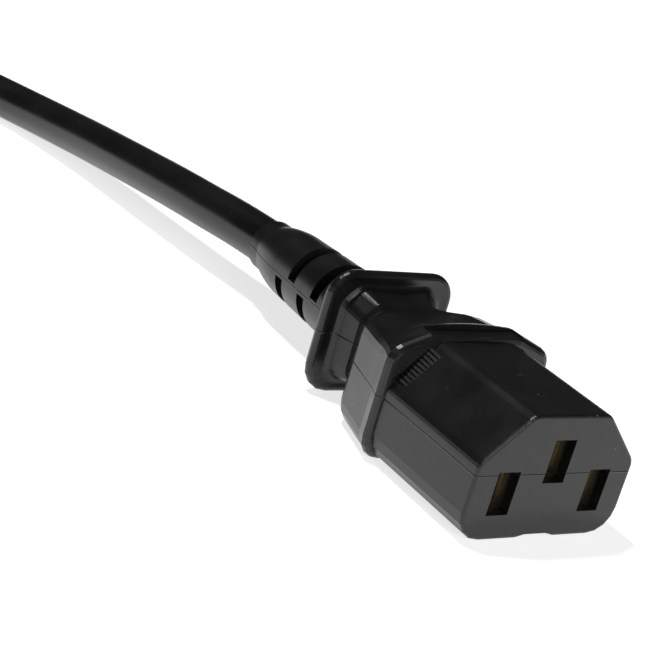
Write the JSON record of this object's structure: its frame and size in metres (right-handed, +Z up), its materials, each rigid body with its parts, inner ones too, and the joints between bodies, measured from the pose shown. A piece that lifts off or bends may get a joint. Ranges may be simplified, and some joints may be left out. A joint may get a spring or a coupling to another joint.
{
  "type": "c13 power connector",
  "caption": "Moulded C13 power connector with a finger flange and a segmented strain relief, on a round cord folded into a tied hank with a C14 plug on its end.",
  "frame": {"origin": "under the middle of the connector, on the surface that it lies on", "axes": "+X is the way the connector mates, along its length; +Y is across it; +Z is up"},
  "size_m": [0.3085, 0.0641, 0.0341],
  "materials": {
    "black_pvc": "moulded black PVC, semi-gloss",
    "grey_resin": "rigid moulded resin",
    "brass": "sheet brass",
    "nickel": "nickel-plated brass blade",
    "copper": "stranded bare copper",
    "brown_core": "brown core insulation",
    "blue_core": "blue core insulation",
    "green_core": "green and yellow core insulation",
    "cord_sheath": "extruded black PVC sheath, semi-gloss",
    "tie_strap": "black hook and loop strap"
  },
  "bodies": {
    "root": {"housing": "black_pvc", "contact_carrier": "grey_resin", "line_contact": "brass", "neutral_contact": "brass", "earth_contact": "brass", "line_core": "brown_core", "neutral_core": "blue_core", "earth_core": "green_core", "line_conductor": "copper", "neutral_conductor": "copper", "earth_conductor": "copper", "cord_lead": "cord_sheath", "cord_hank": "cord_sheath", "cord_tail": "cord_sheath", "hank_tie": "tie_strap", "plug_body": "black_pvc", "plug_carrier": "grey_resin", "plug_line_pin": "nickel", "plug_neutral_pin": "nickel", "plug_earth_pin": "nickel", "plug_line_core": "brown_core", "plug_neutral_core": "blue_core", "plug_earth_core": "green_core", "plug_line_conductor": "copper", "plug_neutral_conductor": "copper", "plug_earth_conductor": "copper"}
  },
  "joints": []
}
